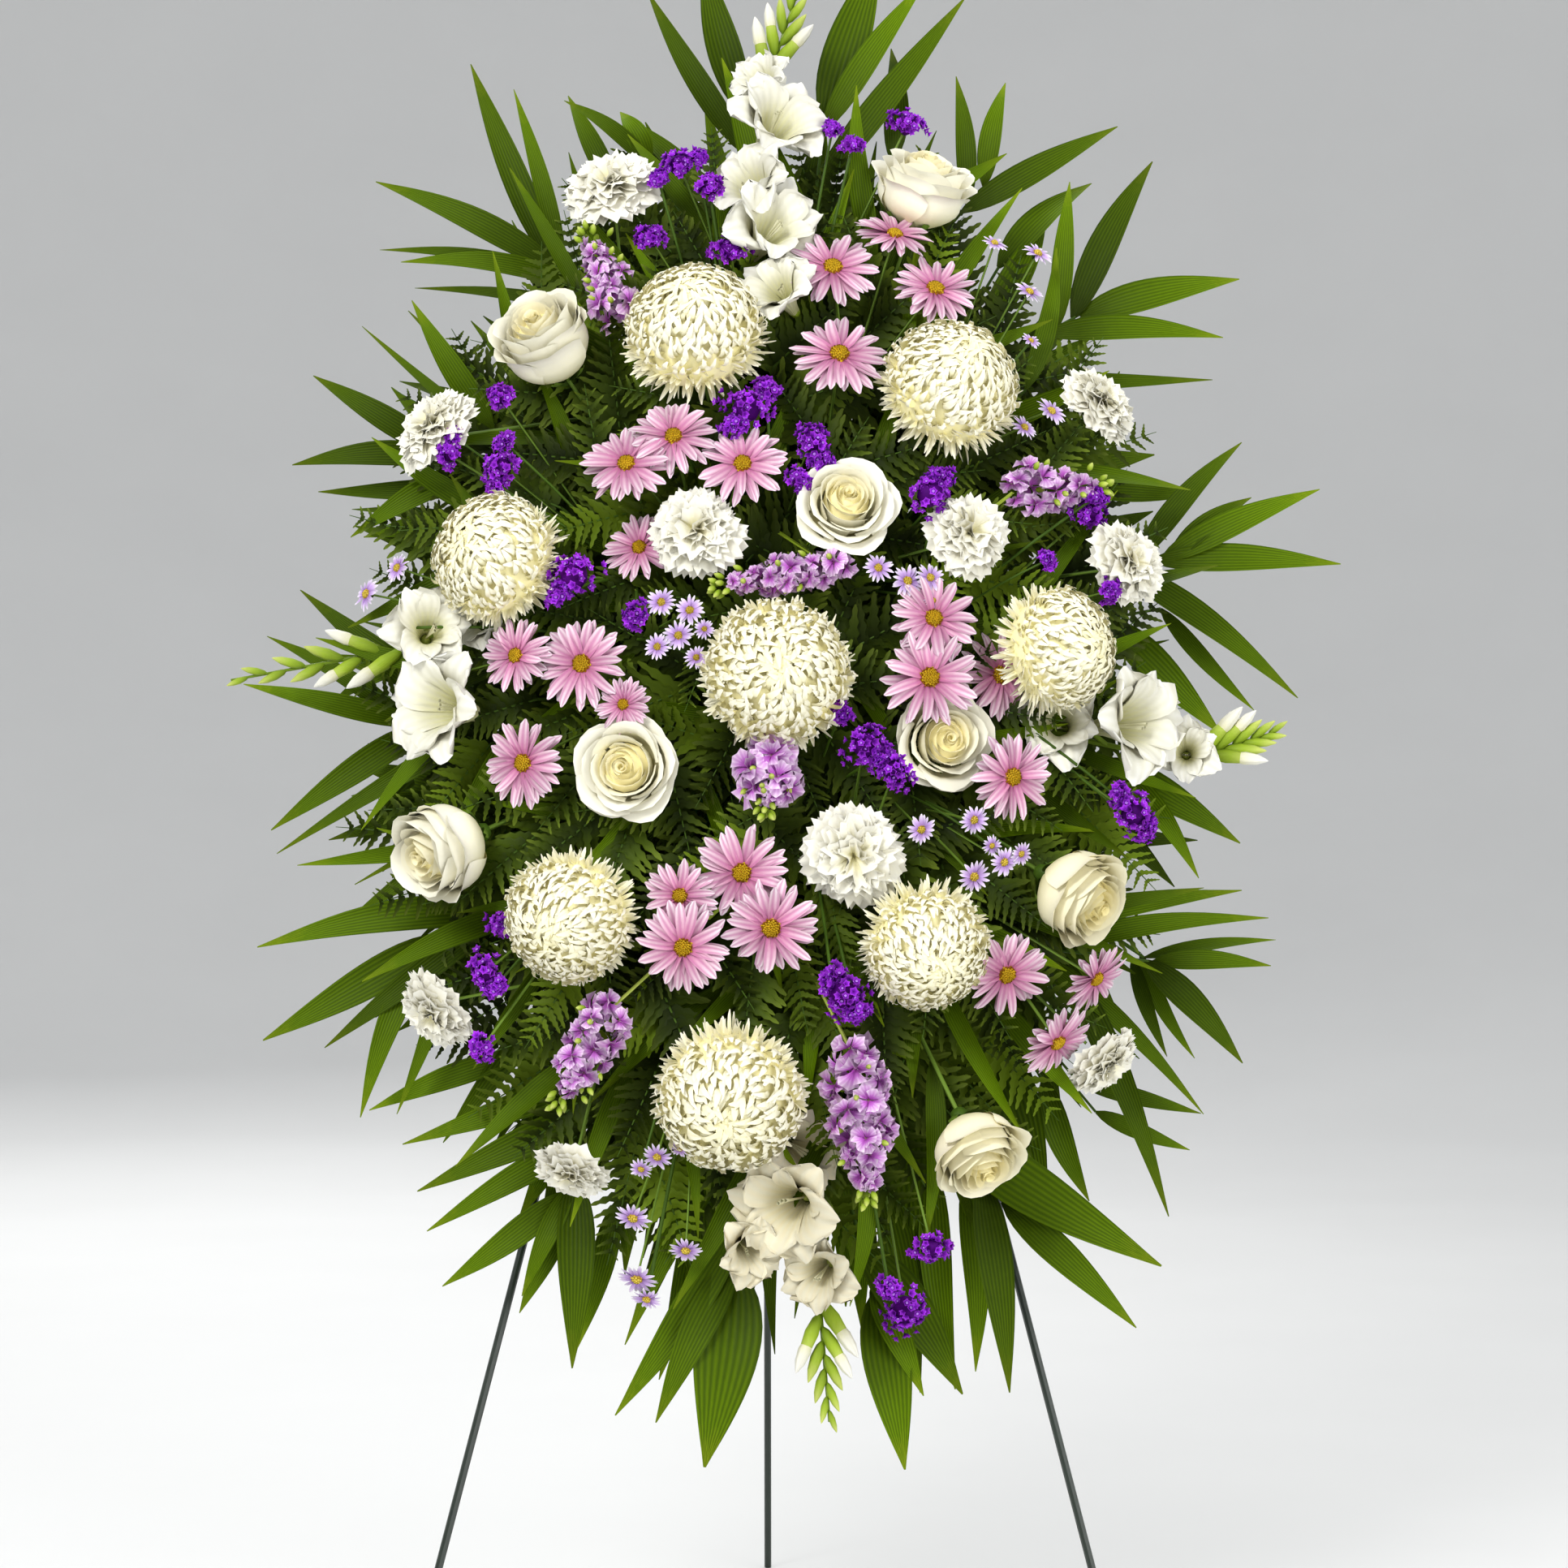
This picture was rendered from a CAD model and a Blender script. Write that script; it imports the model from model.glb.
"""The looks of the standing funeral spray: every bloom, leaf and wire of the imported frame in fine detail."""

import math
import random
import zlib

import bpy
import numpy as np
from mathutils import Matrix, Quaternion, Vector
from mathutils.bvhtree import BVHTree


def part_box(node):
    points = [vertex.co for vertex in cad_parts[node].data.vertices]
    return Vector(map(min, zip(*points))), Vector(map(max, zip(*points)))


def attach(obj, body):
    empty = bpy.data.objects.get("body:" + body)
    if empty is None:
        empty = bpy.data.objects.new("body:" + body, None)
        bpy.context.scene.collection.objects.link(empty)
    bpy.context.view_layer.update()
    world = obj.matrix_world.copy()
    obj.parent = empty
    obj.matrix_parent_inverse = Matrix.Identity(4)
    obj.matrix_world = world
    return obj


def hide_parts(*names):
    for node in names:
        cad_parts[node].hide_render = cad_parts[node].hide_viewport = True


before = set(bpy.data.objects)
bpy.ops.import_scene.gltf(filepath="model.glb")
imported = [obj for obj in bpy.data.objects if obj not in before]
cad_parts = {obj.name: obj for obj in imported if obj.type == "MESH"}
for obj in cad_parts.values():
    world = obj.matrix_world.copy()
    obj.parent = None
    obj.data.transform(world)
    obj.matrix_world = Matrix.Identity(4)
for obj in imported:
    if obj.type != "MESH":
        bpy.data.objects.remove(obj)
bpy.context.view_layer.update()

# The easel and the foam, in metres, in the leaning frame: x right, y back, z up along the easel
LEAN = math.radians(12)
WIRE_RADIUS = 0.003
GAP = 0.0003
MIDDLE_UP = 0.760
FOAM_HEIGHT = 0.230
FOAM_DEPTH = 0.080
TRAY_WALL = 0.003
FOAM_BACK = -(WIRE_RADIUS + 2 * GAP + TRAY_WALL)
LOWER_BAR_UP = MIDDLE_UP - FOAM_HEIGHT / 2 - 2 * GAP - TRAY_WALL - WIRE_RADIUS

# The photograph and the dome of heads, as in the part's source
PHOTO_MIDDLE = 966
PHOTO_FOCAL = 4667
PHOTO_SIDE = 1932
SENSOR = 36.0
LENS = Vector((0.014, -2.80, 0.68))
DOME_HALF_WIDTH = 0.335
DOME_HALF_HEIGHT = 0.500
DOME_RIM = 0.080
DOME_RISE = 0.140
DOME_ROUNDS = 12
DEFAULT_TURN = 0.3
TO_VIEWER = Vector((0, -1, 0))
ORIGIN = Vector((0, 0, 0))
GOLDEN = math.pi * (3 - math.sqrt(5))
ROUND = 2 * math.pi
ANY_TURN = 6.28

TILT = Matrix.Rotation(-LEAN, 4, "X")


def find_shift():
    """How far the whole was moved to centre it: the lower crossbar's place against where it was drawn."""
    low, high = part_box("easel_crossbar_lower")
    drawn = TILT @ Vector((0, -(2 * WIRE_RADIUS + GAP), LOWER_BAR_UP))
    shift = (low + high) / 2 - drawn
    shift.z = 0
    return shift


SHIFT = find_shift()
FRONT = Matrix.Translation(SHIFT) @ TILT
TO_FRONT = FRONT.inverted()
LENS_IN_FRONT = TO_FRONT @ (LENS + SHIFT)
FOAM_MIDDLE = Vector((0, FOAM_BACK - FOAM_DEPTH / 2, MIDDLE_UP))

# Each head: its pixel in the photograph, its pixel radius, and how far it is turned to the viewer
MUMS = (
    (857, 410, 88, 0.45), (1170, 478, 86, 0.45), (613, 688, 82, 0.35), (958, 830, 93, 0.50),
    (1300, 800, 78, 0.05), (703, 1130, 82, 0.40), (1140, 1166, 80, 0.30), (900, 1352, 94, 0.45),
)
ROSES = (
    (1138, 228, 58, 0.20), (670, 418, 56, 0.35), (1042, 620, 58, 0.60), (772, 946, 62, 0.60),
    (1163, 912, 58, 0.60), (543, 1047, 56, 0.10), (1332, 1105, 56, 0.00), (1205, 1422, 56, 0.10),
)
CARNATIONS = {
    "upper_left": ((750, 222, 54, 0.45), (530, 520, 50, 0.25)),
    "centre": ((857, 650, 54, 0.50), (1198, 653, 50, 0.35)),
    "right": ((1362, 492, 48, 0.20), (1397, 690, 50, 0.30)),
    "lower_right": ((1053, 1055, 58, 0.50), (1366, 1315, 46, 0.00)),
    "lower_left": ((530, 1252, 48, 0.05), (700, 1450, 46, 0.00)),
}
DAISIES = {
    "top": ((1026, 330, 58, 0.6), (1102, 290, 50, 0.3), (1152, 357, 56, 0.5), (1034, 437, 60, 0.6)),
    "upper_left": ((830, 538, 54, 0.6), (772, 572, 56, 0.5), (915, 572, 56, 0.6), (788, 675, 46, 0.5)),
    "left": ((717, 818, 58, 0.6), (636, 808, 48, 0.4), (768, 868, 36, 0.5), (645, 940, 56, 0.5)),
    "right": ((1150, 762, 56, 0.6), (1145, 835, 62, 0.6), (1232, 832, 56, 0.5), (1247, 957, 56, 0.4)),
    "middle": ((838, 1103, 48, 0.5), (914, 1075, 60, 0.6), (842, 1167, 58, 0.6), (950, 1143, 60, 0.5)),
    "lower_right": ((1240, 1200, 56, 0.4), (1350, 1205, 48, 0.1), (1302, 1283, 52, 0.1)),
}
STATICE = {
    "top": ((1117, 155, 26), (838, 205, 27), (803, 295, 22), (900, 310, 27)),
    "middle": ((920, 505, 34), (1000, 545, 26), (985, 592, 18)),
    "left": ((617, 490, 19), (553, 560, 20), (618, 578, 26), (708, 710, 34)),
    "right": ((1145, 610, 32), (1340, 632, 28), (1366, 728, 16), (1395, 1003, 32)),
    "lower_left": ((618, 1138, 18), (600, 1197, 25), (595, 1290, 19)),
    "bottom": ((1065, 918, 30), (1102, 950, 26), (1040, 1225, 35), (1147, 1535, 26), (1115, 1612, 36)),
}
ASTERS = {
    "upper_right": (
        (1225, 300, 18), (1278, 313, 22), (1268, 360, 20), (1295, 507, 21), (1262, 527, 19), (1118, 716, 22),
    ),
    "left": ((490, 700, 20), (452, 732, 22), (557, 832, 18), (815, 742, 20), (850, 752, 20), (836, 783, 20)),
    "lower": ((1135, 1022, 20), (1200, 1010, 20), (1200, 1080, 22), (1237, 1062, 20)),
    "bottom": ((780, 1500, 24), (845, 1540, 22), (785, 1575, 26), (810, 1425, 20)),
}
# Small heads that the photograph shows between the others, in the plants they belong to
SMALL_HEADS = {
    "statice_top": ((1025, 160, 14), (1050, 180, 16), (875, 232, 22), (860, 196, 14), (812, 222, 15)),
    "statice_middle": ((1012, 570, 16), (945, 480, 18), (905, 525, 18)),
    "statice_left": ((783, 758, 18), (622, 545, 14), (612, 600, 13), (690, 730, 18), (560, 538, 12)),
    "statice_right": ((1290, 690, 12), (1350, 612, 16), (1410, 1020, 18), (1378, 980, 16), (1160, 590, 18)),
    "statice_lower_left": ((620, 1140, 14), (610, 1215, 15)),
    "statice_bottom": ((1037, 878, 14), (1085, 935, 18), (1025, 1205, 18), (1055, 1245, 18), (1095, 1585, 18)),
    "aster_upper_right": ((1270, 420, 14), (1146, 712, 20), (1082, 700, 20), (1150, 740, 14)),
    "aster_left": ((500, 772, 16), (810, 797, 18), (858, 810, 16), (868, 775, 14)),
    "aster_lower": ((1258, 1052, 16), (1222, 1042, 14)),
    "aster_bottom": ((797, 1600, 20), (790, 1440, 16), (838, 1415, 14)),
}
# Each spike: its foot's and its tip's pixels, and its pixel radius
STOCK = {
    "upper": ((768, 395, 728, 300, 34), (1040, 695, 900, 720, 30)),
    "right": ((1245, 600, 1345, 600, 32),),
    "lower": ((950, 930, 945, 985, 46), (755, 1235, 695, 1345, 38), (1055, 1290, 1068, 1460, 42)),
}
# Each spike: its tip's pixel, and its open blooms
GLADIOLI = {
    "top": ((988, -25), ((938, 98, 30), (962, 150, 50), (925, 225, 44), (952, 280, 48), (958, 355, 40))),
    "left": ((285, 838), ((540, 870, 54), (528, 775, 42), (592, 762, 34))),
    "right": ((1572, 902), ((1462, 925, 32), (1400, 888, 54), (1305, 890, 42))),
    "bottom": ((1022, 1752), ((1008, 1568, 38), (925, 1540, 36), (970, 1488, 54), (985, 1415, 42))),
}
# Each palm frond: its rib's pixels and height, and its leaflets as root pixel, tip pixel and pixel width
FRONDS = {
    "top": (
        (935, 430, 917, 130, 0.058, ((912, 175, 797, -12, 34), (917, 140, 866, -52, 48))),
        (985, 430, 1015, 150, 0.044, (
            (1003, 150, 1085, -60, 60), (1018, 160, 1142, -25, 36), (1040, 190, 1190, -4, 40))),
    ),
    "upper_left": (
        (860, 470, 680, 325, 0.054, (
            (668, 312, 580, 79, 38), (690, 325, 633, 110, 26), (695, 335, 463, 224, 38),
            (655, 325, 468, 308, 20), (695, 344, 494, 323, 30), (650, 378, 511, 355, 20))),
        (915, 380, 800, 200, 0.066, ((896, 215, 764, 138, 32), (760, 230, 695, 124, 24))),
    ),
    "upper_right": (
        (1120, 500, 1330, 388, 0.056, (
            (1334, 367, 1420, 199, 42), (1334, 375, 1527, 344, 44), (1303, 411, 1507, 416, 36),
            (1308, 378, 1318, 224, 30), (1330, 470, 1494, 468, 28))),
        (1050, 420, 1212, 230, 0.046, (
            (1214, 219, 1239, 102, 30), (1226, 240, 1377, 156, 38), (1185, 200, 1178, 94, 28))),
    ),
    "left": (
        (740, 640, 545, 560, 0.052, (
            (609, 478, 503, 383, 30), (532, 469, 446, 402, 22), (500, 520, 386, 463, 36),
            (518, 564, 360, 573, 36), (556, 593, 432, 662, 36))),
        (720, 850, 510, 895, 0.040, (
            (480, 810, 370, 727, 38), (430, 845, 329, 784, 26), (480, 899, 300, 843, 32),
            (490, 915, 334, 1023, 40), (540, 935, 341, 1052, 30), (600, 990, 437, 1090, 32))),
    ),
    "right": (
        (1200, 700, 1440, 690, 0.052, (
            (1436, 648, 1530, 545, 32), (1380, 582, 1542, 613, 30), (1446, 684, 1626, 603, 38),
            (1466, 738, 1652, 695, 40), (1436, 740, 1599, 860, 38))),
        (1230, 900, 1420, 955, 0.040, ((1390, 957, 1528, 1039, 46), (1400, 980, 1477, 1082, 32))),
    ),
    "lower_left": (
        (760, 1075, 530, 1160, 0.052, (
            (585, 1121, 317, 1167, 46), (540, 1164, 324, 1282, 50), (484, 1228, 400, 1291, 36),
            (495, 1240, 444, 1377, 36), (530, 1260, 489, 1373, 26))),
        (810, 1250, 700, 1470, 0.040, (
            (661, 1354, 496, 1410, 42), (727, 1373, 514, 1468, 44), (657, 1443, 526, 1517, 38),
            (680, 1485, 545, 1585, 38), (690, 1500, 643, 1597, 30), (700, 1510, 705, 1686, 52))),
    ),
    "lower_right": (
        (1220, 1160, 1420, 1185, 0.052, (
            (1395, 1120, 1530, 1097, 38), (1410, 1151, 1563, 1131, 30), (1451, 1182, 1566, 1190, 28),
            (1441, 1200, 1531, 1310, 40), (1404, 1300, 1483, 1373, 28), (1357, 1300, 1440, 1499, 38))),
        (1080, 1300, 1235, 1480, 0.040, (
            (1245, 1500, 1400, 1636, 44), (1245, 1443, 1431, 1560, 72), (1301, 1380, 1341, 1489, 40),
            (1215, 1503, 1244, 1716, 48))),
    ),
    "bottom": (
        (930, 1330, 905, 1560, 0.052, (
            (890, 1540, 758, 1744, 48), (900, 1560, 808, 1753, 48), (915, 1573, 868, 1808, 92),
            (850, 1500, 770, 1657, 42))),
        (1000, 1330, 1080, 1590, 0.040, (
            (1060, 1596, 1115, 1811, 66), (1090, 1570, 1138, 1720, 42), (1120, 1520, 1186, 1718, 62))),
    ),
}
# Blades that the photograph shows beside the palm nodes' own: root pixel, tip pixel, pixel width and height
MORE_BLADES = (
    (1085, 1450, 1134, 1716, 46, 0.030), (1150, 1440, 1177, 1712, 44, 0.026), (1190, 1450, 1202, 1690, 40, 0.022),
    (1040, 1440, 1062, 1640, 40, 0.024), (1285, 1330, 1342, 1480, 38, 0.030), (1330, 1335, 1480, 1372, 26, 0.026),
    (1350, 1370, 1466, 1417, 24, 0.024), (1215, 400, 1290, 262, 42, 0.040), (1230, 330, 1345, 226, 42, 0.036),
    (1240, 480, 1345, 415, 32, 0.040), (1365, 765, 1505, 905, 50, 0.030), (1430, 750, 1545, 875, 24, 0.034),
    (1410, 1180, 1572, 1158, 20, 0.034), (1395, 1180, 1438, 1302, 22, 0.028), (1405, 1175, 1472, 1304, 22, 0.030),
    (1330, 600, 1478, 610, 34, 0.036), (600, 600, 392, 606, 30, 0.034), (590, 640, 448, 662, 34, 0.030),
    (640, 1010, 432, 940, 46, 0.028), (600, 980, 405, 1035, 34, 0.026), (640, 1300, 455, 1368, 34, 0.026),
    (700, 1500, 640, 1618, 30, 0.026), (760, 1480, 712, 1660, 34, 0.022), (860, 1480, 812, 1700, 40, 0.020),
    (760, 240, 700, 118, 30, 0.034), (1100, 200, 1098, 60, 34, 0.036), (880, 250, 770, 145, 34, 0.034),
)
# Those that lie deep at the spray's foot, behind the ferns
LOW_BLADES = (
    (1114, 1290, 1140, 1610, 76, 0.030), (1150, 1300, 1215, 1560, 56, 0.030), (1030, 1330, 1042, 1610, 54, 0.026),
    (880, 1340, 868, 1590, 56, 0.026), (930, 1330, 925, 1600, 54, 0.026), (820, 1340, 770, 1570, 50, 0.026),
    (1212, 1250, 1290, 1500, 62, 0.030), (730, 1300, 640, 1500, 50, 0.028), (852, 1350, 800, 1610, 50, 0.026),
)


# Places, as in the part's source


def dome_height(point):
    across = point.x / DOME_HALF_WIDTH
    along = (point.z - MIDDLE_UP) / DOME_HALF_HEIGHT
    return DOME_RIM + DOME_RISE * math.sqrt(max(0.0, 1 - across * across - along * along))


def point_at(pixel_x, pixel_y, height):
    """The point behind a pixel, that height in front of the easel, in the leaning frame, and its distance."""
    back = Vector((0, math.cos(LEAN), -math.sin(LEAN)))
    up = Vector((0, math.sin(LEAN), math.cos(LEAN)))
    ray = Vector(((pixel_x - PHOTO_MIDDLE) / PHOTO_FOCAL, 1, (PHOTO_MIDDLE - pixel_y) / PHOTO_FOCAL))
    distance = (-height - LENS.dot(back)) / ray.dot(back)
    place = LENS + ray * distance
    return Vector((place.x, -height, place.dot(up))), distance


def point_on_dome(pixel_x, pixel_y, lift=0.0):
    height = DOME_RIM + DOME_RISE
    for _ in range(DOME_ROUNDS):
        point, distance = point_at(pixel_x, pixel_y, height)
        height = dome_height(point) + lift
    return point, distance


def facing(point, turned):
    outward = (point - Vector((0, FOAM_BACK, MIDDLE_UP))).normalized()
    return outward.lerp(TO_VIEWER, turned).normalized()


def cad_mesh(node):
    """A CAD node's points in the leaning frame, merged where faces meet, and its triangles."""
    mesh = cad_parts[node].data
    mesh.calc_loop_triangles()
    points = np.empty(len(mesh.vertices) * 3, np.float32)
    mesh.vertices.foreach_get("co", points)
    points = points.reshape(-1, 3).astype(float)
    faces = np.empty(len(mesh.loop_triangles) * 3, np.int32)
    mesh.loop_triangles.foreach_get("vertices", faces)
    _, first, index = np.unique(np.round(points, 5), axis=0, return_index=True, return_inverse=True)
    faces = index.reshape(-1)[faces].reshape(-1, 3)
    whole = faces[(faces[:, 0] != faces[:, 1]) & (faces[:, 1] != faces[:, 2]) & (faces[:, 0] != faces[:, 2])]
    return moved(points[first], TO_FRONT), whole


# Meshes. A surface carries a colour layer called shade: how far along and across it a point is, the surface's
# own chance value, and one more value that some materials use.


def moved(points, matrix):
    matrix = np.array(matrix)
    return points @ matrix[:3, :3].T + matrix[:3, 3]


def layered(shape, along=0.0, across=0.0, chance=0.0, extra=0.0):
    """A shade layer of that shape, from single values or arrays."""
    layer = np.empty((*shape, 4))
    for index, value in enumerate((along, across, chance, extra)):
        layer[..., index] = value
    return layer


def shades(u, v, chance, extra=0.0):
    """The shade layer of many sheets, one chance value each."""
    chance = np.reshape(chance, (-1, 1))
    return layered((len(chance), len(u)), v, (u + 1) / 2, chance, np.reshape(extra, (-1, 1)))


def stacked(x, y, z):
    return np.stack(np.broadcast_arrays(x, y, z), -1)


def around(radial, angle, height):
    """Points from their distance from the Z axis, their angle about it and their height."""
    return stacked(radial * np.cos(angle), radial * np.sin(angle), height)


def ring_angles(sides):
    return np.arange(sides) / sides * 2 * math.pi


def ring_faces(rings, sides):
    index = np.arange(rings * sides).reshape(rings, sides)
    turned = np.roll(index, -1, 1)
    return np.stack([index[:-1], turned[:-1], turned[1:], index[1:]], -1).reshape(-1, 4)


def sheet(across, along):
    """A petal's or leaf's grid: u from -1 to 1 across, v from 0 to 1 along, and its faces."""
    u, v = np.meshgrid(np.linspace(-1, 1, across + 1), np.linspace(0, 1, along + 1))
    index = np.arange((across + 1) * (along + 1)).reshape(along + 1, across + 1)
    faces = np.stack([index[:-1, :-1], index[:-1, 1:], index[1:, 1:], index[1:, :-1]], -1).reshape(-1, 4)
    return u.ravel(), v.ravel(), faces


def lathe(profile, sides):
    """A turned form along +Z from (radius, height) pairs."""
    radii, heights = np.array(profile).T
    points = around(radii[:, None], ring_angles(sides), heights[:, None]).reshape(-1, 3)
    return points, ring_faces(len(profile), sides)


def tube(path, radii, sides):
    """A round stem along a path, of one radius or one for each point, open at its ends."""
    path = [Vector(point) for point in path]
    radii = np.broadcast_to(radii, len(path))
    angles = ring_angles(sides)
    side = (path[1] - path[0]).orthogonal().normalized()
    rings = []
    for index, point in enumerate(path):
        way = (path[min(len(path) - 1, index + 1)] - path[max(0, index - 1)]).normalized()
        side = (side - way * side.dot(way)).normalized()
        ring = np.outer(np.cos(angles), side) + np.outer(np.sin(angles), way.cross(side))
        rings.append(np.array(point) + radii[index] * ring)
    return np.concatenate(rings), ring_faces(len(path), sides)


def curved_path(start, end, bow, steps):
    """A path that bows aside in its middle."""
    return [start.lerp(end, step / steps) + bow * math.sin(math.pi * step / steps) for step in range(steps + 1)]


def placement(look, place, spin=0.0, size=1.0):
    """Turns +Z to the look at the place, spun about it."""
    aim = look.to_track_quat("Z", "Y").to_matrix().to_4x4()
    return Matrix.Translation(place) @ aim @ Matrix.Rotation(spin, 4, "Z") @ Matrix.Scale(size, 4)


STALK_RADIUS = 0.0014
STALK_SHARE_X = 0.14
STALK_SHARE_Z = 0.2


class Piece:
    """One piece of the scene, gathered in the leaning frame."""

    def __init__(self, name):
        self.name = name
        self.points = []
        self.faces = []
        self.shades = []
        self.slots = []
        self.count = 0
        self.random = np.random.RandomState(zlib.crc32(name.encode()) % (2**31))
        self.chance = random.Random(name)

    def add(self, points, faces, slot, matrix=None, shade=None):
        """Adds surfaces: points (n, 3) or (surfaces, n, 3), with the same faces for each."""
        points = np.asarray(points, float)
        if points.ndim == 2:
            points = points[None]
            shade = None if shade is None else np.asarray(shade)[None]
        surfaces, size, _ = points.shape
        if shade is None:
            shade = layered((surfaces, size), chance=self.random.rand(surfaces)[:, None])
        flat = points.reshape(-1, 3)
        if matrix is not None:
            flat = moved(flat, matrix)
        starts = self.count + np.arange(surfaces) * size
        many = (np.asarray(faces)[None] + starts[:, None, None]).reshape(-1, np.shape(faces)[1])
        self.points.append(flat)
        self.faces.append(many)
        self.slots.append(np.full(len(many), slot))
        self.shades.append(np.broadcast_to(shade, (surfaces, size, 4)).reshape(-1, 4))
        self.count += len(flat)

    def turn(self, profile, sides, slot, matrix, **shade):
        """Adds a turned form."""
        points, faces = lathe(profile, sides)
        self.add(points, faces, slot, matrix, layered((len(points),), **shade) if shade else None)

    def stem(self, path, radii, sides=6, matrix=None, slot=1, **shade):
        """Adds a round stem."""
        points, faces = tube(path, radii, sides)
        self.add(points, faces, slot, matrix, layered((len(points),), **shade) if shade else None)

    def stalk(self, root, end, bow=0.0, steps=2):
        """Adds the thin stalk of a leaf, out of the foam from below its root."""
        start = FOAM_MIDDLE + Vector((root.x * STALK_SHARE_X, 0, (root.z - MIDDLE_UP) * STALK_SHARE_Z))
        self.stem(curved_path(start, end, TO_VIEWER * bow, steps), STALK_RADIUS, 4)

    def make(self, materials, body="stand", node=None):
        """The finished object, riding on its body, in place of its node."""
        points = moved(np.concatenate(self.points), FRONT)
        loops = np.concatenate([faces.ravel() for faces in self.faces])
        sizes = np.concatenate([np.full(len(faces), faces.shape[1]) for faces in self.faces])
        mesh = bpy.data.meshes.new(self.name)
        mesh.vertices.add(len(points))
        mesh.vertices.foreach_set("co", points.astype(np.float32).ravel())
        mesh.loops.add(len(loops))
        mesh.loops.foreach_set("vertex_index", loops.astype(np.int32))
        mesh.polygons.add(len(sizes))
        mesh.polygons.foreach_set("loop_start", np.concatenate([[0], np.cumsum(sizes)[:-1]]).astype(np.int32))
        mesh.polygons.foreach_set("material_index", np.concatenate(self.slots).astype(np.int32))
        mesh.polygons.foreach_set("use_smooth", np.ones(len(sizes), bool))
        mesh.update(calc_edges=True)
        layer = mesh.attributes.new("shade", "FLOAT_COLOR", "POINT")
        layer.data.foreach_set("color", np.concatenate(self.shades).astype(np.float32).ravel())
        for name in materials:
            mesh.materials.append(MATERIALS[name])
        obj = linked(self.name, mesh)
        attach(obj, body)
        if node:
            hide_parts(node)
        return obj


def linked(name, data):
    """A new object with that data, in the scene."""
    obj = bpy.data.objects.new(name, data)
    bpy.context.scene.collection.objects.link(obj)
    return obj


# Materials

MATERIALS = {}
NOISE_SCALE = 55.0
NOISE_SHARE = 0.20
VEIN_RELIEF = 0.0006


def fill(tree, socket, value):
    """Sets a socket to a number or a colour, or links it to another socket."""
    if isinstance(value, (int, float)):
        socket.default_value = value
    elif isinstance(value, tuple):
        socket.default_value = (*value, 1)
    else:
        tree.links.new(value, socket)


def node_of(tree, kind, **values):
    made = tree.nodes.new("ShaderNode" + kind)
    for name, value in values.items():
        fill(tree, made.inputs[name], value)
    return made


def linked_math(tree, operation, *values):
    made = tree.nodes.new("ShaderNodeMath")
    made.operation = operation
    for socket, value in zip(made.inputs, values):
        fill(tree, socket, value)
    return made.outputs[0]


def mixed(tree, share, first, second, blend="MIX"):
    made = tree.nodes.new("ShaderNodeMix")
    made.data_type = "RGBA"
    made.blend_type = blend
    for name, value in (("Factor", share), ("A", first), ("B", second)):
        fill(tree, made.inputs[name], value)
    return made.outputs["Result"]


def new_material(name):
    material = bpy.data.materials.new(name)
    material.use_nodes = True
    MATERIALS[name] = material
    return material.node_tree, material.node_tree.nodes["Principled BSDF"]


def living(name, ramp, dark, roughness, veins=0, vein_colour=None, vein_share=0.0, bump=0.15, extra=None, gloss=0.4):
    """A petal's or leaf's material: a ramp of colour along it, veins across it, and its own lightness.

    The ramp holds places with their colours. Extra is a colour that the shade layer's last value brings in."""
    tree, shader = new_material(name)
    layer = node_of(tree, "Attribute")
    layer.attribute_name = "shade"
    parts = node_of(tree, "SeparateColor", Color=layer.outputs["Color"])
    along, across, chance = parts.outputs[:3]
    noise = node_of(tree, "TexNoise", Scale=NOISE_SCALE, Detail=3.0)
    wander = linked_math(tree, "MULTIPLY_ADD", noise.outputs["Fac"], NOISE_SHARE, -NOISE_SHARE / 2)
    colours = tree.nodes.new("ShaderNodeValToRGB")
    elements = colours.color_ramp.elements
    while len(elements) < len(ramp):
        elements.new(0.5)
    for element, (position, *colour) in zip(elements, ramp):
        element.position = position
        element.color = (*colour, 1)
    tree.links.new(linked_math(tree, "ADD", along, wander), colours.inputs[0])
    colour = colours.outputs[0]
    if extra:
        colour = mixed(tree, layer.outputs["Alpha"], colour, extra)
    if veins:
        wave = linked_math(tree, "SINE", linked_math(tree, "MULTIPLY", across, veins * 2 * math.pi))
        height = linked_math(tree, "MULTIPLY_ADD", wave, 0.5, 0.5)
        if vein_colour:
            colour = mixed(tree, linked_math(tree, "MULTIPLY", height, vein_share), colour, vein_colour)
        raised = node_of(tree, "Bump", Strength=bump, Distance=VEIN_RELIEF, Height=height)
        tree.links.new(raised.outputs["Normal"], shader.inputs["Normal"])
    shading = mixed(tree, chance, (dark, dark, dark), (1.0, 1.0, 1.0))
    tree.links.new(mixed(tree, 1.0, colour, shading, "MULTIPLY"), shader.inputs["Base Color"])
    shader.inputs["Roughness"].default_value = roughness
    shader.inputs["Specular IOR Level"].default_value = gloss


def hard(name, first, second, scale, roughness, bump=0.1, distance=0.0004):
    """A mottled material for wire, plastic, foam and paper."""
    tree, shader = new_material(name)
    coordinates = node_of(tree, "TexCoord")
    noise = node_of(tree, "TexNoise", Vector=coordinates.outputs["Object"], Scale=scale, Detail=5.0)
    mottle = noise.outputs["Fac"]
    raised = node_of(tree, "Bump", Strength=bump, Distance=distance, Height=mottle)
    for name, value in (
        ("Base Color", mixed(tree, mottle, first, second)),
        ("Normal", raised.outputs["Normal"]),
        ("Roughness", linked_math(tree, "MULTIPLY_ADD", mottle, 0.2, roughness - 0.1)),
    ):
        tree.links.new(value, shader.inputs[name])


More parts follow.
